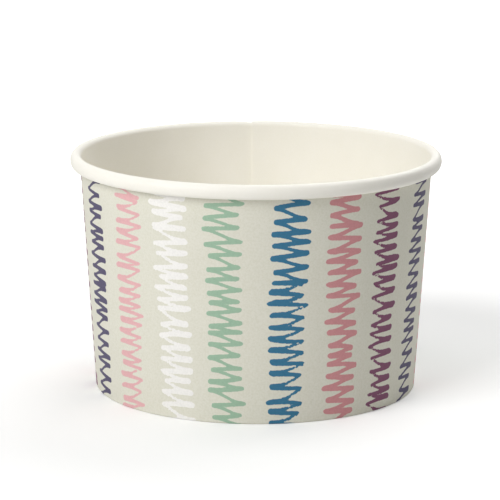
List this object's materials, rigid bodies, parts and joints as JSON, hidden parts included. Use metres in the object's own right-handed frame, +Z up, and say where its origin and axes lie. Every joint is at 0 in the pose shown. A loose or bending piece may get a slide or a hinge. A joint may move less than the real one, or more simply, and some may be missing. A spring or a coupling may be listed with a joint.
{
  "type": "paper food cup",
  "caption": "Open paper food cup with a rolled rim, tapered printed wall, lapped seam and recessed base, for soup, ice cream or snacks.",
  "frame": {"origin": "middle of the foot, on the surface it stands on", "axes": "+Z up the cup's axis to the open rim; the side seam is at the back, towards +Y, and -Y is the front"},
  "size_m": [0.09, 0.09, 0.0576],
  "materials": {
    "printed_board": "smooth uncoated print",
    "white_board": "smooth coated board"
  },
  "bodies": {
    "root": {"side_wall": "printed_board", "base": "white_board"}
  },
  "joints": []
}
